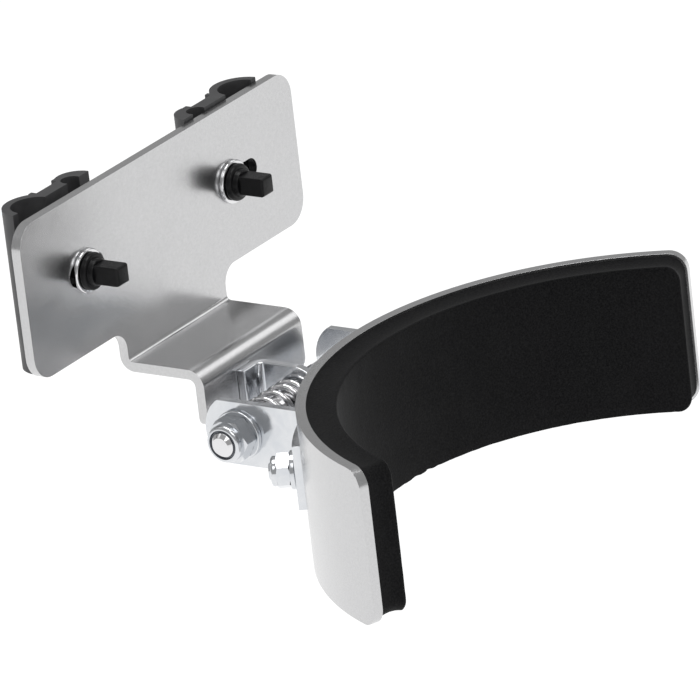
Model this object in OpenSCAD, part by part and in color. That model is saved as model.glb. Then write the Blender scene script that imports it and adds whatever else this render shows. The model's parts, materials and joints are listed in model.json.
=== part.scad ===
// Clamp-on leg rest for a marching drum.
// A slotted plate is clamped to the drum's lug tubes by two plastic clips. A step and a down leg
// carry a lug for the hinge bolt. The curved, foam-lined pad swings on that bolt.
// Frame: X along the plate's width, Y back towards the drum, Z up.
// Origin: centre of the plate's back face, the face that meets the lug tubes.

/* [Mounting plate] */
// Width of the upright plate
plate_w = 147; // [140:1:160]
// Height of the upright plate
plate_h = 50; // [46:1:60]
// Thickness of the plate, step and down leg
sheet = 3.2; // [2.5:0.1:4]
// Corner radius of the upright plate
plate_corner_r = 8; // [4:1:12]
// Length of each clamp slot, end to end
slot_len = 17.6; // [16:0.2:19]
// Width of each clamp slot
slot_w = 7; // [6.6:0.1:7.4]
// Distance of each slot's centre from the middle
slot_x = 42; // [41.5:0.1:42.5]
// Height of the slots above the plate's middle
slot_z = 0.5; // [-2:0.5:2]

/* [Step and down leg] */
// Width of the step and the down leg
tab_w = 54; // [50:1:56]
// Radius of the corners between the plate and the step
tab_fillet_r = 6; // [4:0.5:7]
// Drop from the plate's bottom edge to the step's top
step_drop = 10.4; // [9:0.2:13]
// Reach from the plate's front face to the leg's front face
step_reach = 27.2; // [24:0.2:32]
// Drop from the plate's bottom edge to the leg's end
leg_drop = 29; // [27:0.5:31]
// Corner radius of the leg's end
leg_corner_r = 3; // [1:0.5:6]
// Inside radius of the bend under the plate
rear_bend_r = 1.5; // [1:0.5:3]
// Outside radius of the bend over the leg
front_bend_r = 5.5; // [4:0.5:7]

/* [Clamps] */
// Where the left clamp stands along its slot
clamp_left_x = -42.3; // [-46:0.1:-38]
// Where the right clamp stands along its slot
clamp_right_x = 36.6; // [36.6:0.1:46]
// Height of the clips
clip_h = 51.5; // [40:0.5:56]
// Diameter of the drum's lug tubes
tube_d = 14; // [12:0.2:14.4]
// Diameter of the clamp screws
screw_d = 6; // [5:0.5:6]
// Length of a clamp screw below its collar
screw_len = 26; // [24:1:30]
// Outside diameter of the clamp washers
clamp_washer_d = 14; // [12:0.5:15]

/* [Hinge] */
// Distance of the hinge axis in front of the plate's front face
hinge_reach = 42.2; // [40:0.2:46]
// Drop from the plate's bottom edge to the hinge axis
hinge_drop = 27; // [26:0.2:29]
// Diameter of the hinge bolt
bolt_d = 8; // [6:1:8]
// Distance between the outer faces of the bracket ears
ear_span = 63.6; // [62:0.2:66]
// Thickness of the hinge brackets
bracket_t = 2.5; // [2:0.1:2.6]
// Height of the hinge brackets
bracket_h = 20.6; // [19:0.2:22]
// Radius of the ears' rear ends about the hinge axis
ear_r = 12.6; // [11.5:0.1:13]
// Half angle of the pad's arc that the bracket flanges reach
flange_reach = 33.5; // [32:0.5:36]
// Outside diameter of the spring
spring_d = 14; // [13:0.5:15]
// Wire diameter of the spring
wire_d = 2; // [1.6:0.1:2.2]
// Turns of the spring
spring_turns = 6; // [5:0.5:8]

/* [Pad] */
// Outside radius of the pad plate
pad_r = 100; // [95:1:105]
// Half angle of the pad's arc
pad_half_angle = 69; // [60:1:75]
// Height of the pad plate
pad_h = 50; // [46:1:56]
// Distance from the pad's top edge down to the hinge axis
pad_rise = 23.3; // [20:0.1:26]
// Distance from the hinge axis to the back of the pad plate
pad_reach = 22.4; // [22:0.1:26]
// Thickness of the pad plate
pad_t = 3.2; // [2.5:0.1:3.2]
// Thickness of the foam
foam_t = 9.3; // [6:0.1:12]
// How far the foam stands in from the plate's edges
foam_inset = 0.8; // [0.4:0.1:2]
// Corner radius of the pad plate
pad_corner_r = 6; // [3:0.5:10]

/* [Hidden] */
$fn = 64;
eps = 0.05;          // cutters reach this far past a face
big = 300;           // longer than the whole object
running = 0.05;      // radial clearance of a turning fit
free = 0.3;          // radial clearance of a bolt hole

// Places
front_y = -sheet;
plate_bottom_z = -plate_h / 2;
step_z = plate_bottom_z - step_drop;
leg_y = front_y - step_reach;
leg_end_z = plate_bottom_z - leg_drop;
axis_y = front_y - hinge_reach;
axis_z = plate_bottom_z - hinge_drop;
pad_y = axis_y - pad_reach - pad_r;
pad_top_z = axis_z + pad_rise;

// Colours
satin = "#c9cacb";
zinc = "#d5d8dc";
bright = "#e2e4e6";
black_steel = "#1b1b1c";
black_plastic = "#2b2b2c";
nylon = "#8f949a";
foam_black = "#18181a";

// Clamp parts
washer_t = 1.5;
collar_d = 11.8;
collar_t = 2;
collar_boss_d = 8.8;
collar_boss_t = 1.6;
drive_w = 6;         // square of a drum key
drive_len = 8.8;
drive_chamfer = 0.8;
nut_flats = 10;
clamp_nut_t = 5;
clip_gap_left = 3.4;   // the left clip hangs loose, this far behind the plate
clip_gap_right = 0.4;  // the right clip is drawn up to the plate
web_t = 4.5;
rib_gap = nut_flats + 0.4;
rib_t = 1.6;
rib_h = 2;
jaw_t = 2.6;
tube_clear = 0.1;
pocket_r = tube_d / 2 + tube_clear;
pocket_x = 14.2;     // from the screw to the lug tube
pocket_y = -0.7;     // the pocket is a little less than half round
rod_pocket_r = 3.2;
rod_pocket_x = -7.7;
rod_pocket_y = 0.85;
rod_jaw_r = 6.7;
rod_jaw_x = -9.2;
rod_jaw_y = 0.2;

// Hinge parts
lug_t = 3;
lug_foot = 6;
lug_bend_r = 2;
lug_h = bracket_h + 0.2;
ear_x = ear_span / 2;
ear_in_x = ear_x - bracket_t;
hinge_washer_d = 16;
hinge_washer_t = 1.6;
bolt_flats = 13;
bolt_head_t = 5.3;
head_rim_share = 0.97;
hinge_nut_t = 8;
bolt_proud = 1.2;    // how far the bolt's end stands out of the nut
sleeve_d = 12;
coil_r = (spring_d - wire_d) / 2;
spring_gap = 0.1;    // between the spring's ends and the faces it presses on
coil_room = 1.02;    // pitch of the closed end turns, in wire diameters
sleeve_gap = 0.1;    // between the sleeve's end and the lug
flange_bend_r = 2;

// Lock nuts, as shares of the width across flats or of the height
nut_hex_share = 0.68;
nut_rim_share = 1.02;
nut_collar_share = 0.93;
nut_ring_share = 0.74;
nut_chamfer_slope = 1.7;
nut_rim = 0.6;
ring_sunk = 0.4;     // how deep the nylon ring sits in the hexagon

// Pad fasteners
pad_bolt_angle = 29.3;
pad_bolt_d = 6;
pad_head_d = 11.4;
pad_head_t = 3;
pad_head_sunk = 0.2; // how far the head lies below the pad plate's inner face
pad_screw_proud = 0.6;
pad_washer_d = 12;
pad_washer_t = 1.6;
pad_nut_t = 6;
foam_corner_r = pad_corner_r - foam_inset;
corner_start = 0.9;  // where a corner's rounding starts, as a share of its radius

// Points along an arc in degrees
function arc(cx, cy, r, from, to, steps = 12) =
    [for (i = [0:steps]) let (a = from + (to - from) * i / steps) [cx + r * cos(a), cy + r * sin(a)]];

// A drawing's (x, y) becomes (Y, Z), extruded along +X
module along_x() rotate([90, 0, 90]) children();

// A drawing's (x, y) becomes (X, Z), extruded along +Y
module along_y() rotate([90, 0, 0]) mirror([0, 0, 1]) children();

// A rod or bore along X from x0 to x1, centred on (y, z)
module rod_x(d, x0, x1, y, z) translate([x0, y, z]) rotate([0, 90, 0]) cylinder(d = d, h = x1 - x0);

// A rod or bore along Y from y0 to y1, centred on (x, z)
module rod_y(d, y0, y1, x, z) translate([x, y1, z]) rotate([90, 0, 0]) cylinder(d = d, h = y1 - y0);

// A shape drawn for one side, mirrored across X when side is -1
module facing(side) mirror([side < 0 ? 1 : 0, 0, 0]) children();

// Hexagon prism along +Z
module hex(flats, h) cylinder(d = flats / cos(30), h = h, $fn = 6);

// Lock nut along +Z: hexagon with both rims chamfered, then a round collar bored for the nylon ring
module lock_nut(flats, h, bore_d) {
    hex_h = h * nut_hex_share;
    rim_d = flats * nut_rim_share;
    wide_d = rim_d + 2 * hex_h * nut_chamfer_slope;
    collar = flats * nut_collar_share;
    difference() {
        union() {
            intersection() {
                hex(flats, hex_h);
                cylinder(d1 = rim_d, d2 = wide_d, h = hex_h);
                cylinder(d1 = wide_d, d2 = rim_d, h = hex_h);
            }
            cylinder(d = collar, h = h - nut_rim);
            translate([0, 0, h - nut_rim]) cylinder(d1 = collar, d2 = collar - 2 * nut_rim, h = nut_rim);
        }
        translate([0, 0, -eps]) cylinder(d = bore_d, h = h + 2 * eps);
        translate([0, 0, hex_h - ring_sunk]) cylinder(d = flats * nut_ring_share, h = h);
    }
}

// Nylon ring that fits the lock nut's collar
module lock_ring(flats, h, bore_d) {
    hex_h = h * nut_hex_share;
    translate([0, 0, hex_h - ring_sunk]) difference() {
        cylinder(d = flats * nut_ring_share, h = h - hex_h);
        translate([0, 0, -eps]) cylinder(d = bore_d, h = h);
    }
}

module washer(d, bore_d, t) difference() {
    cylinder(d = d, h = t);
    translate([0, 0, -eps]) cylinder(d = bore_d, h = t + 2 * eps);
}

// ---- Mounting plate ----

// Front view: rounded plate with a neck that widens into it through two fillets
module plate_outline() {
    w = plate_w / 2;
    h = plate_h / 2;
    r = plate_corner_r;
    neck = tab_w / 2;
    f = tab_fillet_r;
    polygon(concat(
        arc(w - r, h - r, r, 0, 90), arc(r - w, h - r, r, 90, 180), arc(r - w, r - h, r, 180, 270),
        arc(-neck - f, -h - f, f, 90, 0), arc(neck + f, -h - f, f, 180, 90),
        arc(w - r, r - h, r, 270, 360)));
}

// Side view of the neck, step and down leg, as (Y, Z)
module step_profile() {
    rear_y = front_y - rear_bend_r;
    rear_z = step_z + rear_bend_r;
    lead_y = leg_y + front_bend_r;
    lead_z = step_z - front_bend_r;
    polygon(concat(
        [[front_y, plate_bottom_z + 1], [0, plate_bottom_z + 1]],
        arc(rear_y, rear_z, rear_bend_r + sheet, 0, -90), arc(lead_y, lead_z, front_bend_r - sheet, 90, 180),
        [[leg_y + sheet, leg_end_z], [leg_y, leg_end_z]],
        arc(lead_y, lead_z, front_bend_r, 180, 90), arc(rear_y, rear_z, rear_bend_r, -90, 0)));
}

// Front view that rounds the leg's lower corners
module leg_outline() {
    w = tab_w / 2;
    r = leg_corner_r;
    polygon(concat([[w, 0], [-w, 0]],
        arc(r - w, leg_end_z + r, r, 180, 270, 8), arc(w - r, leg_end_z + r, r, 270, 360, 8)));
}

module slot_cut(x) {
    half = (slot_len - slot_w) / 2;
    for (s = [-1, 1]) rod_y(slot_w, front_y - eps, eps, x + s * half, slot_z);
    translate([x - half, front_y - eps, slot_z - slot_w / 2]) cube([2 * half, sheet + 2 * eps, slot_w]);
}

module mounting_plate() color(satin) {
    difference() {
        union() {
            translate([0, front_y, 0]) along_y() linear_extrude(sheet) plate_outline();
            intersection() {
                translate([-tab_w / 2, 0, 0]) along_x() linear_extrude(tab_w) step_profile();
                translate([0, leg_y - sheet, 0]) along_y()
                    linear_extrude(step_reach + 3 * sheet) leg_outline();
            }
        }
        slot_cut(-slot_x);
        slot_cut(slot_x);
    }
}

// Plan view of the lug: a foot along the leg's front, bent forward into the ear
module lug_plan() {
    x0 = -lug_t / 2;
    bend_x = x0 - lug_bend_r;
    bend_y = leg_y - lug_t - lug_bend_r;
    nose_y = axis_y - lug_h / 2;
    polygon(concat(
        [[x0 + lug_t, nose_y], [x0 + lug_t, bend_y]], arc(bend_x, bend_y, lug_bend_r + lug_t, 0, 90),
        [[bend_x - lug_foot, leg_y], [bend_x - lug_foot, leg_y - lug_t]],
        arc(bend_x, bend_y, lug_bend_r, 90, 0), [[x0, nose_y]]));
}

// The pad swings on the lug: its nose is round about the hinge axis
module pivot_lug() color(zinc) difference() {
    intersection() {
        translate([0, 0, axis_z - lug_h / 2]) linear_extrude(lug_h) lug_plan();
        union() {
            rod_x(lug_h, -big, big, axis_y, axis_z);
            translate([-big, axis_y, axis_z - lug_h / 2]) cube([2 * big, hinge_reach, lug_h]);
        }
    }
    rod_x(bolt_d + 2 * running, -lug_t, lug_t, axis_y, axis_z);
}

// ---- Clamps ----

// Plan view of a clip, screw at x = 0, web's front at y = 0, large jaw on the +x side
module clip_plan() {
    rib_x = rib_gap / 2;
    difference() {
        union() {
            translate([rod_pocket_x, 0]) square([pocket_x - rod_pocket_x, web_t]);
            for (s = [-1, 1]) translate([s * (rib_x + rib_t / 2) - rib_t / 2, 0])
                square([rib_t, web_t + rib_h]);
            translate([pocket_x, pocket_y]) circle(r = pocket_r + jaw_t);
            translate([rod_jaw_x, rod_jaw_y]) circle(r = rod_jaw_r);
        }
        translate([pocket_x, pocket_y]) circle(r = pocket_r);
        translate([rod_pocket_x, rod_pocket_y]) circle(r = rod_pocket_r);
        translate([-big, -2 * big]) square([2 * big, 2 * big]);
        translate([-rib_x, web_t]) square([rib_gap, big]);
    }
}

// side is 1 for the right clip and -1 for its mirror image on the left
module clip(x, gap, side) color(black_plastic) difference() {
    translate([x, gap, slot_z - clip_h / 2]) facing(side) linear_extrude(clip_h) clip_plan();
    rod_y(screw_d + 2 * free, gap - 1, gap + 2 * pocket_r, x, slot_z);
}

// Drum-key screw along +Y: round collar with a boss, square drive to the front, shank to the back
module clamp_screw(x) color(black_steel) {
    seat_y = front_y - washer_t;
    boss_y = seat_y - collar_t;
    drive_y = boss_y - collar_boss_t;
    tip_y = drive_y - drive_len;
    rod_y(screw_d, seat_y - eps, seat_y + screw_len, x, slot_z);
    rod_y(collar_d, boss_y, seat_y, x, slot_z);
    rod_y(collar_boss_d, drive_y - eps, boss_y + eps, x, slot_z);
    w = drive_w / 2;
    tip_w = drive_w - 2 * drive_chamfer;
    taper_h = 4 * drive_len;
    translate([x, tip_y, slot_z]) along_y() intersection() {
        translate([-w, -w, 0]) cube([drive_w, drive_w, drive_len + eps]);
        rotate(45) cylinder(d1 = sqrt(2) * tip_w, d2 = sqrt(2) * (tip_w + 2 * taper_h), h = taper_h, $fn = 4);
    }
}

module clamp_washer(x) color(bright) translate([x, front_y - washer_t, slot_z]) along_y()
    washer(clamp_washer_d, screw_d + 2 * free, washer_t);

module clamp_nut(x, gap) color(zinc) translate([x, gap + web_t, slot_z]) along_y() difference() {
    rotate(30) hex(nut_flats, clamp_nut_t);
    translate([0, 0, -eps]) cylinder(d = screw_d + 2 * running, h = clamp_nut_t + 2 * eps);
}

// ---- Hinge ----

// Plan view of the left bracket: straight ear, bend, flange that follows the pad's back
module bracket_plan() {
    bend_x = -ear_x - flange_bend_r;
    flange_r = pad_r + bracket_t;
    mid_r = flange_r + flange_bend_r;
    bend_y = pad_y + sqrt(mid_r * mid_r - bend_x * bend_x);
    a = atan2(bend_y - pad_y, bend_x);
    end = 90 + flange_reach;
    rear_y = axis_y + ear_r;
    polygon(concat(
        [[-ear_in_x, rear_y], [-ear_x, rear_y]], arc(bend_x, bend_y, flange_bend_r, 0, a - 180),
        arc(0, pad_y, flange_r, a, end), arc(0, pad_y, pad_r, end, a),
        arc(bend_x, bend_y, flange_bend_r + bracket_t, a - 180, 0)));
}

module pad_bolt_frame(side) translate([0, pad_y, axis_z]) rotate([0, 0, -side * pad_bolt_angle])
    rotate([-90, 0, 0]) children();

module hinge_bracket(side) color(zinc) difference() {
    intersection() {
        facing(-side) translate([0, 0, axis_z - bracket_h / 2]) linear_extrude(bracket_h) bracket_plan();
        union() {
            rod_x(2 * ear_r, -big, big, axis_y, axis_z);
            translate([-big, axis_y - big, axis_z - bracket_h / 2]) cube([2 * big, big, bracket_h]);
        }
    }
    rod_x(bolt_d + 2 * running, -big, big, axis_y, axis_z);
    pad_bolt_frame(side) cylinder(d = pad_bolt_d + 2 * free, h = 2 * pad_r);
}

module hinge_bolt() color(bright) {
    seat_x = ear_x + hinge_washer_t;
    end_x = -seat_x - hinge_nut_t - bolt_proud;
    chamfer = 0.8;
    rod_x(bolt_d, end_x + chamfer, seat_x + eps, axis_y, axis_z);
    translate([end_x, axis_y, axis_z]) rotate([0, 90, 0])
        cylinder(d1 = bolt_d - 2 * chamfer, d2 = bolt_d, h = chamfer);
    rim_d = bolt_flats * head_rim_share;
    translate([seat_x, axis_y, axis_z]) rotate([0, 90, 0]) rotate(30) intersection() {
        hex(bolt_flats, bolt_head_t);
        cylinder(d1 = rim_d + 8 * bolt_head_t, d2 = rim_d, h = bolt_head_t);
    }
}

module hinge_washer(side) color(zinc) translate([side > 0 ? ear_x : -ear_x - hinge_washer_t, axis_y, axis_z])
    rotate([0, 90, 0]) washer(hinge_washer_d, bolt_d + 2 * running, hinge_washer_t);

module hinge_nut_place() translate([-ear_x - hinge_washer_t, axis_y, axis_z]) rotate([0, -90, 0]) children();

module hinge_nut() color(zinc) hinge_nut_place() lock_nut(bolt_flats, hinge_nut_t, bolt_d + 2 * running);

module hinge_nut_insert() color(nylon) hinge_nut_place()
    lock_ring(bolt_flats, hinge_nut_t, bolt_d + 2 * running);

// Share of a spring's length reached after a share u of its turns: the closed end turns lie together,
// and rise is the share of the length that each takes
function spring_reach(u, closed, rise) = u < closed ? rise * u / closed
    : u > 1 - closed ? 1 - rise * (1 - u) / closed
    : rise + (1 - 2 * rise) * (u - closed) / (1 - 2 * closed);

// Compression spring along X with closed ends, swept along its helix
module hinge_spring() color(bright) {
    sides = 8;
    per_turn = 20;
    rings = round(spring_turns * per_turn);
    x0 = -ear_in_x + spring_gap + wire_d / 2;
    x1 = -lug_t / 2 - spring_gap - wire_d / 2;
    closed = 1 / spring_turns;
    rise = wire_d * coil_room / (x1 - x0);
    points = [for (i = [0:rings], k = [0:sides - 1])
        let (u = i / rings, t = 360 * spring_turns * u, a = 360 * k / sides,
             x = x0 + (x1 - x0) * spring_reach(u, closed, rise) + wire_d / 2 * sin(a),
             r = coil_r + wire_d / 2 * cos(a))
        [x, axis_y + r * cos(t), axis_z + r * sin(t)]];
    faces = concat(
        [[for (k = [0:sides - 1]) k]],
        [for (i = [0:rings - 1], k = [0:sides - 1]) let (n = (k + 1) % sides)
            [i * sides + k, (i + 1) * sides + k, (i + 1) * sides + n, i * sides + n]],
        [[for (k = [0:sides - 1]) rings * sides + sides - 1 - k]]);
    polyhedron(points, faces, convexity = 10);
}

module hinge_sleeve() color(zinc) difference() {
    rod_x(sleeve_d, lug_t / 2 + sleeve_gap, ear_in_x, axis_y, axis_z);
    rod_x(bolt_d + 2 * running, 0, ear_x, axis_y, axis_z);
}

// ---- Pad ----

// What rounding takes off a square corner: the corner is at (0, 0), and the piece lies to the left and below.
// The arc stops just short of the two sides, so that it crosses them cleanly.
module corner_waste(r) polygon(concat(
    [[1, 1], [-corner_start * r, 1]], arc(-r, -r, r, 85, 5, 8), [[1, -corner_start * r]]));

// Curved band between two radii, centred on the pad's arc, with rounded corners
module band(r_in, r_out, z0, z1, half_angle, corner_r) translate([0, pad_y, 0]) difference() {
    rotate([0, 0, 90 - half_angle]) rotate_extrude(angle = 2 * half_angle, $fn = 180)
        translate([r_in, z0]) square([r_out - r_in, z1 - z0]);
    for (side = [-1, 1], top = [0, 1]) facing(side) rotate([0, 0, -half_angle])
        translate([0, r_in - 1, top ? z1 : z0]) mirror([0, 0, 1 - top]) along_y()
            linear_extrude(r_out - r_in + 2) corner_waste(corner_r);
}

module pad_plate() color(satin) difference() {
    band(pad_r - pad_t, pad_r, pad_top_z - pad_h, pad_top_z, pad_half_angle, pad_corner_r);
    for (s = [-1, 1]) pad_bolt_frame(s) {
        cylinder(d = pad_bolt_d + 2 * free, h = 2 * pad_r);
        translate([0, 0, pad_r - pad_t - 1]) cylinder(d = pad_head_d + 2 * free, h = 1 + pad_head_sunk);
        translate([0, 0, pad_r - pad_t + pad_head_sunk - eps])
            cylinder(d1 = pad_head_d + 2 * free, d2 = pad_bolt_d + 2 * free, h = pad_head_t - pad_head_sunk);
    }
}

module pad_foam() color(foam_black) {
    r = pad_r - pad_t;
    band(r - foam_t, r, pad_top_z - pad_h + foam_inset, pad_top_z - foam_inset,
        pad_half_angle - foam_inset / r * 180 / PI, foam_corner_r);
}

// Countersunk screw from inside the pad, its flat head level with the pad plate
module pad_screw(side) color(zinc) pad_bolt_frame(side) {
    head_r = pad_r - pad_t + pad_head_sunk;
    end_r = pad_r + bracket_t + pad_washer_t + pad_nut_t + pad_screw_proud;
    translate([0, 0, head_r]) cylinder(d1 = pad_head_d, d2 = pad_bolt_d, h = pad_head_t - 2 * pad_head_sunk);
    translate([0, 0, head_r + 1]) cylinder(d = pad_bolt_d, h = end_r - head_r - 1);
}

module pad_washer(side) color(zinc) pad_bolt_frame(side) translate([0, 0, pad_r + bracket_t])
    washer(pad_washer_d, pad_bolt_d + 2 * running, pad_washer_t);

module pad_nut(side) color(zinc) pad_bolt_frame(side) translate([0, 0, pad_r + bracket_t + pad_washer_t])
    lock_nut(nut_flats, pad_nut_t, pad_bolt_d + 2 * running);

module pad_nut_insert(side) color(nylon) pad_bolt_frame(side)
    translate([0, 0, pad_r + bracket_t + pad_washer_t])
        lock_ring(nut_flats, pad_nut_t, pad_bolt_d + 2 * running);

mounting_plate();
pivot_lug();
clip(clamp_left_x, clip_gap_left, -1);  // clip_left
clip(clamp_right_x, clip_gap_right, 1);  // clip_right
clamp_screw(clamp_left_x);  // clamp_screw_left
clamp_screw(clamp_right_x);  // clamp_screw_right
clamp_washer(clamp_left_x);  // clamp_washer_left
clamp_washer(clamp_right_x);  // clamp_washer_right
clamp_nut(clamp_left_x, clip_gap_left);  // clamp_nut_left
clamp_nut(clamp_right_x, clip_gap_right);  // clamp_nut_right
hinge_bracket(-1);  // hinge_bracket_left
hinge_bracket(1);  // hinge_bracket_right
hinge_bolt();
hinge_washer(-1);  // hinge_washer_left
hinge_washer(1);  // hinge_washer_right
hinge_nut();
hinge_nut_insert();
hinge_spring();
hinge_sleeve();
pad_plate();
pad_foam();
pad_screw(-1);  // pad_screw_left
pad_screw(1);  // pad_screw_right
pad_washer(-1);  // pad_washer_left
pad_washer(1);  // pad_washer_right
pad_nut(-1);  // pad_nut_left
pad_nut(1);  // pad_nut_right
pad_nut_insert(-1);  // pad_nut_insert_left
pad_nut_insert(1);  // pad_nut_insert_right
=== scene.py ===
"""Looks of the clamp-on drum leg rest: bent plate, clips, drum-key screws, hinge, spring and padded rest.

Shapes are drawn in millimetres in the part's own frame and brought to metres when a piece is finished.
"""

import json
from math import asin, cos, degrees, pi, radians, sin

import bmesh
import bpy
from mathutils import Matrix, Vector, noise

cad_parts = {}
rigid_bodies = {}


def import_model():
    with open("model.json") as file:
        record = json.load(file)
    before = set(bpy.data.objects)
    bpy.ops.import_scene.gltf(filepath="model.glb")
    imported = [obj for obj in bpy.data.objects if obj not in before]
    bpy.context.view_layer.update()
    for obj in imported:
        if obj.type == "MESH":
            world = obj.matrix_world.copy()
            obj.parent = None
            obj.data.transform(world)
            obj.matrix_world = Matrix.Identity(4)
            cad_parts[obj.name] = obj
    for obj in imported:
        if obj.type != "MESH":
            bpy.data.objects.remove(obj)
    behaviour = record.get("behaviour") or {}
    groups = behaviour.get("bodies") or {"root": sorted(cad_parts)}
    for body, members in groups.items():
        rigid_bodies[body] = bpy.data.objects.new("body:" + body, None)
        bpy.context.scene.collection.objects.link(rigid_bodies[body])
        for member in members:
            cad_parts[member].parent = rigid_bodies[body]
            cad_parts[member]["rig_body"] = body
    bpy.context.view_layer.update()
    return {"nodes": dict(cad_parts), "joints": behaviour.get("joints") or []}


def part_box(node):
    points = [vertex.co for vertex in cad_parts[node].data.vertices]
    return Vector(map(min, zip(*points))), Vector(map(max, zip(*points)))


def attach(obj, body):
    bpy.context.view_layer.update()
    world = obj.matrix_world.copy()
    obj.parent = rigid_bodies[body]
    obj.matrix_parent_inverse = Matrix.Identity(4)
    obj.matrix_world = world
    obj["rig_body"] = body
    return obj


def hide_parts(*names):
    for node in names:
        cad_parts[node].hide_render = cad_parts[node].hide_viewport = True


MM = 0.001
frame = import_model()
joints = {joint["name"]: joint for joint in frame["joints"]}


def span(node):
    """Lowest and highest corner of a CAD node, in millimetres."""
    low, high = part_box(node)
    return low / MM, high / MM


# ---- Sizes, in millimetres ----

PLATE_LOW, PLATE_HIGH = span("mounting_plate")
PAD_LOW, PAD_HIGH = span("pad_plate")
FOAM_LOW, FOAM_HIGH = span("pad_foam")
HINGE = Vector(joints["pad_swing"]["pos_m"]) / MM
CLAMP_AT = {side: Vector(joints[f"screw_turn_{side}"]["pos_m"]) / MM for side in ("left", "right")}

SHEET = 3.2                 # thickness of the plate and of the pad plate
PLATE_W = PLATE_HIGH.x - PLATE_LOW.x
PLATE_TOP = PLATE_HIGH.z
PLATE_BOTTOM = -PLATE_TOP
PLATE_CORNER = 8.0
SLOT_LEN, SLOT_W, SLOT_X = 17.6, 7.0, 42.0
NECK_W, NECK_FILLET = 54.0, 6.0
LEG_CORNER = 3.0
REAR_BEND, FRONT_BEND = 1.5, 5.5     # inside radius under the plate, outside radius over the leg
STEP_TOP = PLATE_BOTTOM - 10.4

PAD_R = 100.0
PAD_MIDDLE_Y = PAD_HIGH.y - PAD_R
PAD_HALF = degrees(asin(PAD_HIGH.x / PAD_R))
PAD_CORNER = 6.0
FOAM_T = 9.3

M8_R, M6_R = 4.0, 3.0               # radii of the hinge bolt and of the pad's screws
M8_FLATS, M6_FLATS = 13.0, 10.0     # their nuts, across the flats
HOLE_PLAY, NYLON_PLAY = 0.05, 0.03  # how much wider in radius a hole and a nylon ring are than the bolt
BRACKET_T = 2.5
FLANGE_ANGLE = 29.3                 # of the pad's screws, in degrees to either side of the middle
HAIR = 0.02                         # keeps flat faces that slide or turn on each other from touching

FLOOR_Z, FLOOR_HALF = -0.32, 12     # stage, in metres
LAMPS_AIM = (0, -0.06, -0.03)


# ---- Camera, stage and light ----

def set_camera(azimuth=-54.213, elevation=21.074, roll=-6.725, distance=2480.4, lens=413.4):
    """Long lens from the front left, a little above, slightly rolled."""
    az, el, turn = radians(azimuth), radians(elevation), radians(roll)
    level = Vector((cos(az), sin(az), 0))
    upright = Vector((-sin(az) * sin(el), cos(az) * sin(el), cos(el)))
    back = Vector((sin(az) * cos(el), -cos(az) * cos(el), sin(el)))
    right = level * cos(turn) + upright * sin(turn)
    up = upright * cos(turn) - level * sin(turn)
    aim = Vector((23.92, -49.88, -45.48))
    place = (aim + back * distance) * MM
    data = bpy.data.cameras.new("camera")
    data.lens, data.sensor_width = lens, 36
    data.clip_end = 50
    camera = bpy.data.objects.new("camera", data)
    camera.matrix_world = Matrix.Translation(place) @ Matrix((right, up, back)).transposed().to_4x4()
    bpy.context.scene.collection.objects.link(camera)
    bpy.context.scene.camera = camera


def softbox(name, place, size, watts):
    """Rectangular lamp at a place, turned towards the part."""
    data = bpy.data.lights.new(name, "AREA")
    data.shape = "RECTANGLE"
    data.size, data.size_y = size
    data.energy = watts
    lamp = bpy.data.objects.new(name, data)
    lamp.location = place
    lamp.rotation_euler = (Vector(LAMPS_AIM) - Vector(place)).to_track_quat("-Z", "Y").to_euler()
    bpy.context.scene.collection.objects.link(lamp)


def set_stage():
    """White sweep well below the part, white surround, and four softboxes."""
    bm = bmesh.new()
    bmesh.ops.create_grid(bm, x_segments=1, y_segments=1, size=FLOOR_HALF)
    bmesh.ops.translate(bm, verts=bm.verts, vec=(0, 0, FLOOR_Z))
    mesh = bpy.data.meshes.new("floor")
    bm.to_mesh(mesh)
    bm.free()
    floor = bpy.data.objects.new("floor", mesh)
    bpy.context.scene.collection.objects.link(floor)
    paper = bpy.data.materials.new("white_paper")
    paper.use_nodes = True
    shader = paper.node_tree.nodes["Principled BSDF"]
    shader.inputs["Base Color"].default_value = (0.25, 0.25, 0.25, 1)
    shader.inputs["Roughness"].default_value = 0.9
    shader.inputs["Specular IOR Level"].default_value = 0
    shader.inputs["Emission Color"].default_value = (1, 1, 1, 1)
    shader.inputs["Emission Strength"].default_value = 0.91
    mesh.materials.append(paper)

    world = bpy.data.worlds.new("studio")
    world.use_nodes = True
    ground = world.node_tree.nodes["Background"]
    ground.inputs["Color"].default_value = (1, 1, 1, 1)
    ground.inputs["Strength"].default_value = 0.4
    bpy.context.scene.world = world
    bpy.context.scene.view_settings.view_transform = "Standard"
    softbox("key", (-0.9, -0.9, 1.3), (1.1, 0.8), 5)
    softbox("overhead", (0.1, -0.05, 1.4), (1.0, 0.7), 9)
    softbox("side", (1.3, -0.6, 0.9), (0.6, 0.9), 2.0)
    softbox("back", (-0.2, 1.3, 0.9), (1.2, 0.5), 1.5)


# ---- Finishes ----

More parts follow.
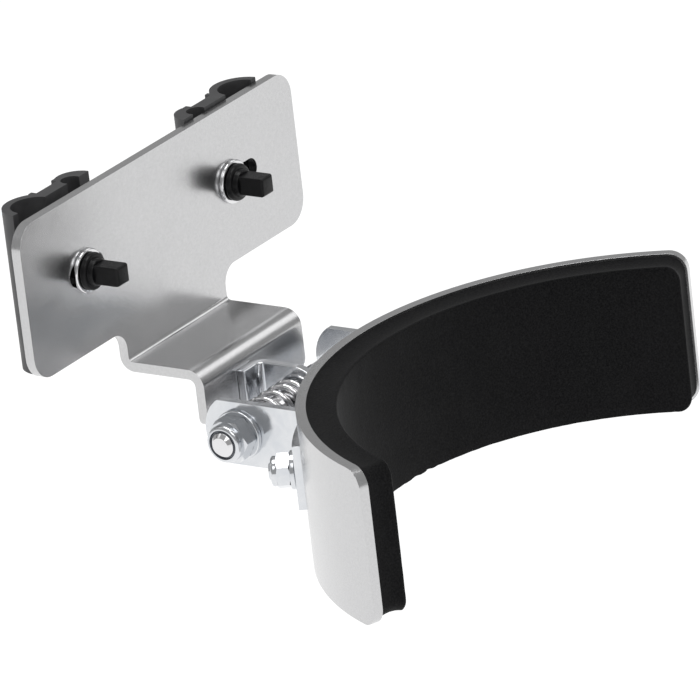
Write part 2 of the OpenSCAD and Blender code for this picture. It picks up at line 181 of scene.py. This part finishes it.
class Finish:
    """A material with a principled shader, and short ways to add patterns to it."""

    def __init__(self, name, base, roughness, metallic=0.0, **sockets):
        self.material = bpy.data.materials.new(name)
        self.material.use_nodes = True
        self.tree = self.material.node_tree
        self.shader = self.tree.nodes["Principled BSDF"]
        values = {"Base Color": (*base, 1), "Roughness": roughness, "Metallic": metallic, **sockets}
        for socket, value in values.items():
            self.shader.inputs[socket].default_value = value
        self.where = self.add("ShaderNodeTexCoord").outputs["Object"]

    def add(self, kind, **values):
        node = self.tree.nodes.new(kind)
        for socket, value in values.items():
            node.inputs[socket].default_value = value
        return node

    def link(self, source, target):
        self.tree.links.new(source, target)

    def grain(self, size, detail=4.0):
        """Noise whose features are about size millimetres across."""
        pattern = self.add("ShaderNodeTexNoise", Scale=1 / (size * MM), Detail=detail, Roughness=0.6)
        self.link(self.where, pattern.inputs["Vector"])
        return pattern.outputs["Fac"]

    def cells(self, size):
        """Closed cells about size millimetres across."""
        pattern = self.add("ShaderNodeTexVoronoi", Scale=1 / (size * MM))
        self.link(self.where, pattern.inputs["Vector"])
        return pattern.outputs["Distance"]

    def vary(self, pattern, socket, low, high, between=(0.3, 0.7)):
        """Runs a socket from low to high as the pattern goes between two values."""
        if socket == "Base Color":
            ramp = self.add("ShaderNodeValToRGB")
            for stop, place, colour in zip(ramp.color_ramp.elements, between, (low, high)):
                stop.position = place
                stop.color = (*colour, 1)
            self.link(pattern, ramp.inputs["Fac"])
            self.link(ramp.outputs["Color"], self.shader.inputs[socket])
            return
        spread = self.add("ShaderNodeMapRange")
        for name, value in zip(("From Min", "From Max", "To Min", "To Max"), (*between, low, high)):
            spread.inputs[name].default_value = value
        self.link(pattern, spread.inputs["Value"])
        self.link(spread.outputs["Result"], self.shader.inputs[socket])

    def bump(self, layers):
        """Layers of (pattern, height in millimetres), each laid on the one before."""
        last = None
        for pattern, height in layers:
            node = self.add("ShaderNodeBump", Strength=1.0, Distance=height * MM)
            self.link(pattern, node.inputs["Height"])
            if last:
                self.link(last.outputs["Normal"], node.inputs["Normal"])
            last = node
        self.link(last.outputs["Normal"], self.shader.inputs["Normal"])


def satin_steel():
    """Fine-blasted sheet under nickel: soft reflections, a faint speckle, clouds in the gloss."""
    steel = Finish("satin_steel", (0.57, 0.565, 0.57), 0.22, 1.0)
    steel.vary(steel.grain(22), "Roughness", 0.2, 0.27)
    steel.vary(steel.grain(0.7, 2), "Base Color", (0.545, 0.545, 0.55), (0.59, 0.59, 0.595))
    steel.bump([(steel.grain(12), 0.012), (steel.grain(0.45, 2), 0.0009)])
    return steel.material


def zinc_plate():
    """Bright zinc: cool, glossy, with slight waves and cloudy patches from the bath."""
    zinc = Finish("zinc_plate", (0.66, 0.675, 0.7), 0.14, 1.0)
    zinc.vary(zinc.grain(4), "Roughness", 0.1, 0.2)
    zinc.vary(zinc.grain(7), "Base Color", (0.62, 0.64, 0.67), (0.72, 0.73, 0.745))
    zinc.bump([(zinc.grain(3.5), 0.012), (zinc.grain(0.4, 2), 0.0008)])
    return zinc.material


def bright_chrome():
    """Mirror-like plate with a faint swell."""
    chrome = Finish("bright_chrome", (0.74, 0.74, 0.75), 0.07, 1.0)
    chrome.vary(chrome.grain(3), "Roughness", 0.05, 0.12)
    chrome.bump([(chrome.grain(2.5), 0.004)])
    return chrome.material


def black_oxide():
    """Blackened screw steel with a trace of oil and paler handled patches."""
    oxide = Finish("black_oxide", (0.004, 0.004, 0.005), 0.35, 0.0, **{"Specular IOR Level": 0.2})
    oxide.vary(oxide.grain(1.6), "Roughness", 0.25, 0.45)
    oxide.vary(oxide.grain(2.2), "Base Color", (0.003, 0.003, 0.0035), (0.007, 0.007, 0.0075))
    oxide.bump([(oxide.grain(0.5), 0.006)])
    return oxide.material


def black_plastic():
    """Moulded glass-filled nylon: dull, finely pebbled."""
    plastic = Finish("black_plastic", (0.05, 0.05, 0.052), 0.5, 0.0, **{"Specular IOR Level": 0.5})
    plastic.vary(plastic.grain(6), "Roughness", 0.42, 0.58)
    plastic.vary(plastic.grain(3), "Base Color", (0.044, 0.044, 0.046), (0.062, 0.062, 0.064))
    plastic.bump([(plastic.grain(0.45), 0.012)])
    return plastic.material


def nylon():
    """Plain grey-blue nylon."""
    ring = Finish("nylon_ring", (0.2, 0.215, 0.24), 0.4, 0.0)
    ring.vary(ring.grain(1.2), "Roughness", 0.32, 0.5)
    ring.bump([(ring.grain(0.6), 0.004)])
    return ring.material


def black_foam():
    """Closed-cell sponge: matt black, pricked with fine cells, a few of them catching light."""
    foam = Finish("black_foam", (0.006, 0.006, 0.007), 0.95, 0.0,
                  **{"Specular IOR Level": 0.15, "Sheen Weight": 0.05, "Sheen Roughness": 0.5})
    foam.vary(foam.grain(0.55, 3), "Base Color", (0.002, 0.002, 0.0025), (0.012, 0.012, 0.0125), (0.35, 0.72))
    foam.vary(foam.grain(14), "Roughness", 0.88, 1.0)
    foam.bump([(foam.grain(11), 0.2), (foam.cells(0.6), 0.035), (foam.grain(0.5), 0.03)])
    return foam.material


set_camera()
set_stage()
MATERIALS = {
    "satin_steel": satin_steel(), "zinc_plate": zinc_plate(), "bright_chrome": bright_chrome(),
    "black_oxide": black_oxide(), "black_plastic": black_plastic(), "nylon_ring": nylon(),
    "black_foam": black_foam(),
}


# ---- Ways of making a piece ----

def arc(x, y, r, start, end, steps=10):
    """Points along an arc, from start to end in degrees."""
    turns = [radians(start + (end - start) * i / steps) for i in range(steps + 1)]
    return [(x + r * cos(t), y + r * sin(t)) for t in turns]


def rounded_box(half_w, low, high, r, steps=10):
    """Outline of a box with round corners, anticlockwise."""
    return (arc(half_w - r, high - r, r, 0, 90, steps) + arc(r - half_w, high - r, r, 90, 180, steps)
            + arc(r - half_w, low + r, r, 180, 270, steps) + arc(half_w - r, low + r, r, 270, 360, steps))


def ring_of(bm, points):
    """A closed loop of edges through points."""
    verts = [bm.verts.new(point) for point in points]
    return [bm.edges.new(pair) for pair in zip(verts, verts[1:] + verts[:1])]


def ease(bm, width, segments=4, only=lambda edge: True, angle=30):
    """Rounds the sharp edges."""
    sharp = [e for e in bm.edges if e.is_manifold and e.calc_face_angle() > radians(angle) and only(e)]
    bmesh.ops.bevel(bm, geom=sharp, offset=width, segments=segments, affect="EDGES", profile=0.5,
                    material=-1, clamp_overlap=True)


def cut_sheet(outline, thickness, holes=()):
    """A flat blank in X and Z, its front at y = 0 and its back at y = thickness."""
    bm = bmesh.new()
    edges = [edge for points in (outline, *holes) for edge in ring_of(bm, [(x, 0, z) for x, z in points])]
    bmesh.ops.triangle_fill(bm, edges=edges, use_beauty=True)
    back = bmesh.ops.extrude_face_region(bm, geom=bm.faces[:])["geom"]
    moved = [v for v in back if isinstance(v, bmesh.types.BMVert)]
    bmesh.ops.translate(bm, verts=moved, vec=(0, thickness, 0))
    bmesh.ops.recalc_face_normals(bm, faces=bm.faces)
    return bm


def slice_across(bm, axis, places):
    """Adds a line of edges right round the piece at each place along an axis, so that it can bend there."""
    normal = [0, 0, 0]
    normal[axis] = 1
    for place in places:
        at = [0, 0, 0]
        at[axis] = place
        bmesh.ops.bisect_plane(bm, geom=bm.verts[:] + bm.edges[:] + bm.faces[:], plane_co=at, plane_no=normal)


def bend(bm, rule):
    """Moves every point of a flat blank to where a rule carries it."""
    for vert in bm.verts:
        vert.co = rule(vert.co)


def turned(bm, profile, steps=64):
    """Spins a profile of (height, radius) points about Z. Points on the axis close it."""
    verts = [bm.verts.new((radius, 0, height)) for height, radius in profile]
    edges = [bm.edges.new(pair) for pair in zip(verts, verts[1:])]
    if profile[0][1] > 0:
        edges.append(bm.edges.new((verts[-1], verts[0])))
    bmesh.ops.spin(bm, geom=verts + edges, cent=(0, 0, 0), axis=(0, 0, 1), angle=2 * pi, steps=steps,
                   use_merge=True, use_duplicate=False)
    bmesh.ops.remove_doubles(bm, verts=bm.verts, dist=1e-4)


def rounded_ring(bore_r, outer_r, low, high, ease_r, steps=4):
    """Profile of a washer or collar whose outer rims are rounded."""
    first = arc(outer_r - ease_r, low + ease_r, ease_r, -90, 0, steps)
    second = arc(outer_r - ease_r, high - ease_r, ease_r, 0, 90, steps)
    return [(low, bore_r)] + [(h, r) for r, h in first + second] + [(high, bore_r)]


ALONG_X = Matrix.Rotation(pi / 2, 3, "Y")
ALONG_BACK_X = Matrix.Rotation(-pi / 2, 3, "Y")
ALONG_Y = Matrix.Rotation(-pi / 2, 3, "X")
ALONG_BACK_Y = Matrix.Rotation(pi / 2, 3, "X")


def place(bm, turn, at):
    """Turns a piece drawn about Z and sets its origin at a point."""
    bmesh.ops.rotate(bm, verts=bm.verts, cent=(0, 0, 0), matrix=turn)
    bmesh.ops.translate(bm, verts=bm.verts, vec=at)


def together(bm, other):
    """Adds another bmesh to this one."""
    mesh = bpy.data.meshes.new("part")
    other.to_mesh(mesh)
    other.free()
    bm.from_mesh(mesh)
    bpy.data.meshes.remove(mesh)


def finish_piece(bm, name, node, slot, sharp=40):
    """Brings a piece to metres, gives it its finish, and sets it on its node's body in that node's stead."""
    bmesh.ops.scale(bm, verts=bm.verts, vec=(MM, MM, MM))
    bmesh.ops.recalc_face_normals(bm, faces=bm.faces)
    mesh = bpy.data.meshes.new(name)
    bm.to_mesh(mesh)
    bm.free()
    for polygon in mesh.polygons:
        polygon.use_smooth = True
    mesh.set_sharp_from_angle(angle=radians(sharp))
    mesh.materials.append(MATERIALS[slot])
    piece = bpy.data.objects.new(name, mesh)
    bpy.context.scene.collection.objects.link(piece)
    weighted = piece.modifiers.new("even_normals", "WEIGHTED_NORMAL")
    weighted.keep_sharp = True
    weighted.mode = "FACE_AREA_WITH_ANGLE"
    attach(piece, frame["nodes"][node]["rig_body"])
    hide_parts(node)
    return piece


def eased_copy(node, width):
    """The CAD piece with its flat faces made whole and its sharp edges rounded."""
    bm = bmesh.new()
    bm.from_mesh(frame["nodes"][node].data)
    bmesh.ops.scale(bm, verts=bm.verts, vec=(1 / MM, 1 / MM, 1 / MM))
    bmesh.ops.remove_doubles(bm, verts=bm.verts, dist=1e-3)
    bmesh.ops.dissolve_limit(bm, angle_limit=radians(0.5), verts=bm.verts, edges=bm.edges)
    ease(bm, width, segments=3)
    return bm


# ---- Mounting plate ----

def plate_blank_outline():
    """Upright plate, fillets and neck, with the neck drawn out straight down to the leg's end."""
    w, neck, f = PLATE_W / 2, NECK_W / 2, NECK_FILLET
    upper = rounded_box(w, PLATE_BOTTOM, PLATE_TOP, PLATE_CORNER)
    quarter = len(upper) // 4
    top_right, top_left, low_left, low_right = (upper[i * quarter:(i + 1) * quarter] for i in range(4))
    leg_left = arc(LEG_CORNER - neck, BLANK_END + LEG_CORNER, LEG_CORNER, 180, 270)
    leg_right = arc(neck - LEG_CORNER, BLANK_END + LEG_CORNER, LEG_CORNER, 270, 360)
    fillet_left = arc(-neck - f, PLATE_BOTTOM - f, f, 90, 0)
    fillet_right = arc(neck + f, PLATE_BOTTOM - f, f, 180, 90)
    return top_right + top_left + low_left + fillet_left + leg_left + leg_right + fillet_right + low_right


# The blank's z where each stretch of the folded sheet begins, and the length of each along its middle
FRONT_Y = -SHEET
LEG_Y = PLATE_LOW.y
BEND_START = STEP_TOP + REAR_BEND
REAR_RUN = (REAR_BEND + SHEET / 2) * pi / 2
STEP_RUN = (FRONT_Y - REAR_BEND) - (LEG_Y + FRONT_BEND)
FRONT_RUN = (FRONT_BEND - SHEET / 2) * pi / 2
LEG_START = BEND_START - REAR_RUN - STEP_RUN - FRONT_RUN
BLANK_END = LEG_START - ((STEP_TOP - FRONT_BEND) - PLATE_LOW.z)


def fold(at):
    """Carries a point of the flat blank to its place on the bent plate: back bend, step, front bend, leg."""
    x, depth, z = at
    run = BEND_START - z
    if run <= 0:
        return Vector((x, FRONT_Y + depth, z))
    if run <= REAR_RUN:
        a = run / REAR_RUN * pi / 2
        r = REAR_BEND + depth
        return Vector((x, FRONT_Y - REAR_BEND + r * cos(a), STEP_TOP + REAR_BEND - r * sin(a)))
    run -= REAR_RUN
    if run <= STEP_RUN:
        return Vector((x, FRONT_Y - REAR_BEND - run, STEP_TOP - depth))
    run -= STEP_RUN
    middle_y, middle_z = LEG_Y + FRONT_BEND, STEP_TOP - FRONT_BEND
    r = FRONT_BEND - depth
    if run <= FRONT_RUN:
        a = run / FRONT_RUN * pi / 2
        return Vector((x, middle_y - r * sin(a), middle_z + r * cos(a)))
    return Vector((x, middle_y - r, middle_z - (run - FRONT_RUN)))


def mounting_plate():
    """Slotted blank with rolled-over edges, folded twice."""
    half, r = (SLOT_LEN - SLOT_W) / 2, SLOT_W / 2
    slot_z = CLAMP_AT["left"].z
    slots = [arc(middle + half, slot_z, r, -90, 90, 14) + arc(middle - half, slot_z, r, 90, 270, 14)
             for middle in (-SLOT_X, SLOT_X)]
    bm = cut_sheet(plate_blank_outline(), SHEET, slots)

    def in_slot(edge):
        middle = (edge.verts[0].co + edge.verts[1].co) / 2
        return abs(abs(middle.x) - SLOT_X) < half + r + 0.2 and abs(middle.z - slot_z) < r + 0.2

    ease(bm, 1.05, 5, lambda edge: not in_slot(edge), angle=50)
    ease(bm, 0.3, 2, in_slot, angle=50)
    rear = [BEND_START - REAR_RUN * i / 8 for i in range(9)]
    front = [LEG_START + FRONT_RUN * i / 14 for i in range(15)]
    slice_across(bm, 2, rear + front)
    bend(bm, fold)
    finish_piece(bm, "bent_mounting_plate", "mounting_plate", "satin_steel", sharp=30)


# ---- Pad ----

def roll(at):
    """Carries a point of a flat blank, x measured along the pad's outside, on to the pad's arc."""
    x, depth, z = at
    a = x / PAD_R
    r = PAD_R - depth
    return Vector((r * sin(a), PAD_MIDDLE_Y + r * cos(a), z))


def pad_plate():
    """Plain blank with round corners, rolled to the pad's arc."""
    half = radians(PAD_HALF) * PAD_R
    bm = cut_sheet(rounded_box(half, PAD_LOW.z, PAD_HIGH.z, PAD_CORNER), SHEET)
    ease(bm, 1.0, 5, angle=50)
    slice_across(bm, 0, [half * i / 44 for i in range(-43, 44)])
    bend(bm, roll)
    finish_piece(bm, "curved_pad_plate", "pad_plate", "satin_steel", sharp=30)


def pad_foam():
    """Die-cut lining: its cut sides are drawn in a little half way through, and its lower rim is nicked."""
    inset = PAD_HIGH.z - FOAM_HIGH.z
    half = radians(PAD_HALF) * PAD_R - inset
    corner = PAD_CORNER - inset
    sides = [(0, 0), (0.12, 0.35), (0.3, 0.65), (0.5, 0.8),     # share of the thickness, drawn in by
             (0.7, 0.65), (0.86, 0.3), (0.95, 0.05), (1.0, 0.45)]
    nick_x, nick_reach, nick_rim, nick_depth = 12, 12, 1.6, 2.4
    bm = bmesh.new()
    rings = []
    for share, pull in sides:
        outline = rounded_box(half - pull, FOAM_LOW.z + pull, FOAM_HIGH.z - pull, corner - pull, 8)
        rings.append(ring_of(bm, [(x, SHEET + share * FOAM_T, z) for x, z in outline]))
    for lower, upper in zip(rings, rings[1:]):
        bmesh.ops.bridge_loops(bm, edges=lower + upper)
    for end in (rings[0], rings[-1]):
        bmesh.ops.triangle_fill(bm, edges=end, use_beauty=True)
    slice_across(bm, 0, [half * i / 90 for i in range(-89, 90)])
    slice_across(bm, 2, [FOAM_LOW.z + (FOAM_HIGH.z - FOAM_LOW.z) * i / 12 for i in range(1, 12)])
    for vert in bm.verts:
        depth = (vert.co.y - SHEET) / FOAM_T
        if depth > 0.02:
            swell = noise.noise(vert.co * 0.045) * 0.25 + noise.noise(vert.co * 0.16) * 0.08
            vert.co.y -= depth * abs(swell)
        lower_rim = vert.co.z < FOAM_LOW.z + nick_rim
        if lower_rim and depth > 0.3:
            near = max(0.08, 1 - abs(vert.co.x - nick_x) / nick_reach)
            torn = max(0.0, noise.noise(Vector((vert.co.x * 0.33, 3.7, 0))) - 0.05)
            vert.co.z += torn * nick_depth * depth * near
    bend(bm, roll)
    piece = finish_piece(bm, "foam_lining", "pad_foam", "black_foam", sharp=75)


# ---- Fasteners ----

def six_sided(bm, flats, z, drop=0.0, up=1, per_side=8):
    """Ring of a hexagon whose corners fall away under a cone, the mark of a turned chamfer."""
    reach = flats / 2
    points = []
    for i in range(6 * per_side):
        a = 2 * pi * i / (6 * per_side)
        off = (a + pi / 6) % (pi / 3) - pi / 6
        r = min(reach / cos(off), reach / cos(pi / 6) * 0.985)
        fall = max(0.0, r - reach * 1.02) * drop
        points.append((r * cos(a), r * sin(a), z - up * fall))
    return ring_of(bm, points)


def round_ring(bm, r, z, count=48):
    """Circle of as many points as a hexagon's ring, so that the two can be joined."""
    return ring_of(bm, [(r * cos(2 * pi * i / count), r * sin(2 * pi * i / count), z) for i in range(count)])


def loft(bm, rings, closed=False):
    """Joins each ring to the next, and the last to the first if it is closed."""
    for lower, upper in zip(rings, rings[1:] + (rings[:1] if closed else [])):
        bmesh.ops.bridge_loops(bm, edges=lower + upper)


NUT_HEX, NUT_COLLAR, NUT_RING = 0.68, 0.93, 0.74    # shares of the height and of the flats, as in the frame


def lock_nut(flats, height, bore_r):
    """Hexagon with turned chamfers, and a rounded collar that stands up around the nylon ring."""
    bm = bmesh.new()
    hex_h, collar_r, ring_r = height * NUT_HEX, flats / 2 * NUT_COLLAR, flats / 2 * NUT_RING
    lip = collar_r - ring_r
    rim_r = lip * 0.95
    face_r = flats / 2 * 1.02
    rings = [round_ring(bm, bore_r, 0), round_ring(bm, face_r * 0.99, 0),
             six_sided(bm, flats, 0, 0.6, -1), six_sided(bm, flats, hex_h, 0.6, 1),
             round_ring(bm, face_r * 0.985, hex_h), round_ring(bm, collar_r, hex_h - 0.02),
             round_ring(bm, collar_r * 0.99, hex_h + 0.3)]
    rim = height - lip
    for r, z in arc(collar_r - rim_r, rim, rim_r, 0, 94, 7):
        rings.append(round_ring(bm, r, z))
    rings += [round_ring(bm, ring_r, height - lip * 0.9), round_ring(bm, ring_r, hex_h - 0.4),
              round_ring(bm, bore_r, hex_h - 0.4)]
    loft(bm, rings, closed=True)
    return bm


def nylon_ring(flats, height, bore_r):
    """Ring that sits in a lock nut's collar, a little below its rim."""
    bm = bmesh.new()
    hex_h, ring_r = height * NUT_HEX, flats / 2 * NUT_RING
    top = height - (flats / 2 * NUT_COLLAR - ring_r) * 0.75
    turned(bm, rounded_ring(bore_r, ring_r - 0.02, hex_h - 0.4, top, 0.3))
    return bm


def hinge_hardware():
    """Bolt, lock nut, washers and spacer sleeve on the hinge's axis."""
    nut_low, nut_high = span("hinge_nut")
    nut_h = nut_high.x - nut_low.x
    bolt_low, bolt_high = span("hinge_bolt")
    head_low = span("hinge_washer_right")[1].x
    seat = Vector((nut_high.x, HINGE.y, HINGE.z))

    bm = lock_nut(M8_FLATS, nut_h, M8_R + HOLE_PLAY)
    place(bm, ALONG_BACK_X, seat)
    finish_piece(bm, "hinge_lock_nut", "hinge_nut", "zinc_plate")
    bm = nylon_ring(M8_FLATS, nut_h, M8_R + NYLON_PLAY)
    place(bm, ALONG_BACK_X, seat)
    finish_piece(bm, "hinge_nut_nylon", "hinge_nut_insert", "nylon_ring")

    bm = bmesh.new()
    shank = head_low - bolt_low.x
    turned(bm, [(0, 0), (0, 2.7), (0.1, 2.9), (1.1, 3.9), (1.25, M8_R), (shank, M8_R), (shank, 0)])
    place(bm, ALONG_X, Vector((bolt_low.x, HINGE.y, HINGE.z)))
    head = bmesh.new()
    head_h = bolt_high.x - head_low
    rings = [round_ring(head, 6.2, 0), six_sided(head, M8_FLATS, 0.05, 0.1, -1),
             six_sided(head, M8_FLATS, head_h, 0.6, 1), round_ring(head, 6.3, head_h),
             round_ring(head, 5.2, head_h - 0.15)]
    loft(head, rings)
    bmesh.ops.holes_fill(head, edges=head.edges, sides=0)
    place(head, ALONG_X, Vector((head_low, HINGE.y, HINGE.z)))
    together(bm, head)
    finish_piece(bm, "hinge_bolt_m8", "hinge_bolt", "bright_chrome")

    for side in ("left", "right"):
        low, high = span(f"hinge_washer_{side}")
        bm = bmesh.new()
        turned(bm, rounded_ring(M8_R + HOLE_PLAY, (high.z - low.z) / 2, 0, high.x - low.x, 0.35))
        place(bm, ALONG_X, Vector((low.x, HINGE.y, HINGE.z)))
        finish_piece(bm, f"hinge_flat_washer_{side}", f"hinge_washer_{side}", "zinc_plate")

    low, high = span("hinge_sleeve")
    bm = bmesh.new()
    turned(bm, rounded_ring(M8_R + HOLE_PLAY, (high.z - low.z) / 2, 0, high.x - low.x, 0.4))
    place(bm, ALONG_X, Vector((low.x, HINGE.y, HINGE.z)))
    finish_piece(bm, "spacer_sleeve", "hinge_sleeve", "zinc_plate")


def hinge_spring(turns=6, per_turn=28, sides=14):
    """Coil wound along X: a closed turn lies at each end, and the turns between are open."""
    low, high = span("hinge_spring")
    outer = (high.z - low.z) / 2
    wire = 1.0
    coil = outer - wire
    length = high.x - low.x - 2 * wire
    closed = 2 * wire * 1.02
    pitch = (length - 2 * closed) / (turns - 2)
    bm = bmesh.new()
    bmesh.ops.create_circle(bm, segments=sides, radius=wire)
    bmesh.ops.rotate(bm, verts=bm.verts, cent=(0, 0, 0), matrix=Matrix.Rotation(pi / 2, 3, "X"))
    bmesh.ops.translate(bm, verts=bm.verts, vec=(coil, 0, wire))
    end = bm.verts[:] + bm.edges[:]
    for run, rise in ((1, closed), (turns - 2, pitch), (1, closed)):
        made = bmesh.ops.spin(bm, geom=end, cent=(0, 0, 0), axis=(0, 0, 1), dvec=(0, 0, rise / per_turn),
                              angle=2 * pi * run, steps=per_turn * run, use_duplicate=False)
        end = made["geom_last"]
    bmesh.ops.holes_fill(bm, edges=bm.edges, sides=0)
    place(bm, ALONG_X, Vector((low.x, HINGE.y, HINGE.z)))
    finish_piece(bm, "tension_spring", "hinge_spring", "bright_chrome", sharp=60)


def pad_fasteners():
    """Nuts, washers and screw ends on the two flanges, square to the pad's arc."""
    middle = Vector((0, PAD_MIDDLE_Y, HINGE.z))
    flange = PAD_R + BRACKET_T
    washer_t, nut_h = 1.6, 6.0
    for side, sign in (("left", -1), ("right", 1)):
        a = radians(FLANGE_ANGLE) * sign
        outward = Vector((sin(a), cos(a), 0))
        turn = outward.to_track_quat("Z", "Y").to_matrix()
        bm = bmesh.new()
        turned(bm, rounded_ring(M6_R + HOLE_PLAY, 6.0, 0, washer_t, 0.35))
        place(bm, turn, middle + outward * flange)
        finish_piece(bm, f"flange_washer_{side}", f"pad_washer_{side}", "zinc_plate")
        nut_at = middle + outward * (flange + washer_t)
        bm = lock_nut(M6_FLATS, nut_h, M6_R + HOLE_PLAY)
        place(bm, turn, nut_at)
        finish_piece(bm, f"flange_lock_nut_{side}", f"pad_nut_{side}", "zinc_plate")
        bm = nylon_ring(M6_FLATS, nut_h, M6_R + NYLON_PLAY)
        place(bm, turn, nut_at)
        finish_piece(bm, f"flange_nut_nylon_{side}", f"pad_nut_insert_{side}", "nylon_ring")
        bm = bmesh.new()
        head = PAD_R - SHEET + 0.2
        end = flange + washer_t + nut_h + 0.6
        turned(bm, [(head, 0), (head, 5.7), (head + 2.6, M6_R), (end - 0.6, M6_R), (end, 2.4), (end, 0)])
        place(bm, turn, middle)
        finish_piece(bm, f"flange_screw_{side}", f"pad_screw_{side}", "zinc_plate")


def clamp_hardware():
    """Each clamp's screw, with its collar, boss and square drive, and its washer."""
    for side, at in CLAMP_AT.items():
        low, high = span(f"clamp_screw_{side}")
        washer_low, washer_high = span(f"clamp_washer_{side}")
        seat = washer_low.y
        tip = low.y
        collar_t, boss_t, drive = 2.0, 1.6, 6.0
        front = Vector((at.x, seat, at.z))

        bm = bmesh.new()
        boss_end = collar_t + boss_t
        turned(bm, [(seat - high.y, 0), (seat - high.y, 2.5), (seat - high.y + 0.5, 3), (0, 3), (0, 5.4),
                    (0.25, 5.8), (0.5, 5.9), (collar_t - 0.7, 5.9), (collar_t - 0.2, 5.65), (collar_t, 5.2),
                    (collar_t, 4.5), (collar_t + 0.3, 4.35), (boss_end - 0.5, 4.3), (boss_end - 0.1, 4.0),
                    (boss_end, 3.5), (boss_end, 0)])
        shaft = bmesh.new()
        length = seat - tip
        bmesh.ops.create_cube(shaft, size=1)
        bmesh.ops.scale(shaft, verts=shaft.verts, vec=(drive, drive, length - collar_t))
        bmesh.ops.translate(shaft, verts=shaft.verts, vec=(0, 0, (length + collar_t) / 2))
        tip_rim = [e for e in shaft.edges if all(v.co.z > length - 0.1 for v in e.verts)]
        bmesh.ops.bevel(shaft, geom=tip_rim, offset=0.85, segments=2, affect="EDGES", profile=0.5,
                        material=-1)
        ease(shaft, 0.32, 3, angle=50)
        together(bm, shaft)
        place(bm, ALONG_BACK_Y, front)
        finish_piece(bm, f"drum_key_screw_{side}", f"clamp_screw_{side}", "black_oxide")

        bm = bmesh.new()
        thick = washer_high.y - washer_low.y
        turned(bm, rounded_ring(3.3, (washer_high.x - washer_low.x) / 2, HAIR, thick - HAIR, 0.55, 6))
        place(bm, ALONG_Y, front)
        finish_piece(bm, f"clamp_flat_washer_{side}", f"clamp_washer_{side}", "bright_chrome")


def pressed_and_moulded():
    """Brackets, lug and clips: the CAD shapes with the rounding that shearing, bending and moulding leave."""
    for side in ("left", "right"):
        bracket = f"hinge_bracket_{side}"
        finish_piece(eased_copy(bracket, 0.45), f"hinge_angle_{side}", bracket, "zinc_plate")
        finish_piece(eased_copy(f"clip_{side}", 0.4), f"moulded_clip_{side}", f"clip_{side}", "black_plastic")
        finish_piece(eased_copy(f"clamp_nut_{side}", 0.3), f"captive_nut_{side}", f"clamp_nut_{side}",
                     "zinc_plate")
    finish_piece(eased_copy("pivot_lug", 0.45), "welded_lug", "pivot_lug", "zinc_plate")


mounting_plate()
pad_plate()
pad_foam()
hinge_hardware()
hinge_spring()
pad_fasteners()
clamp_hardware()
pressed_and_moulded()
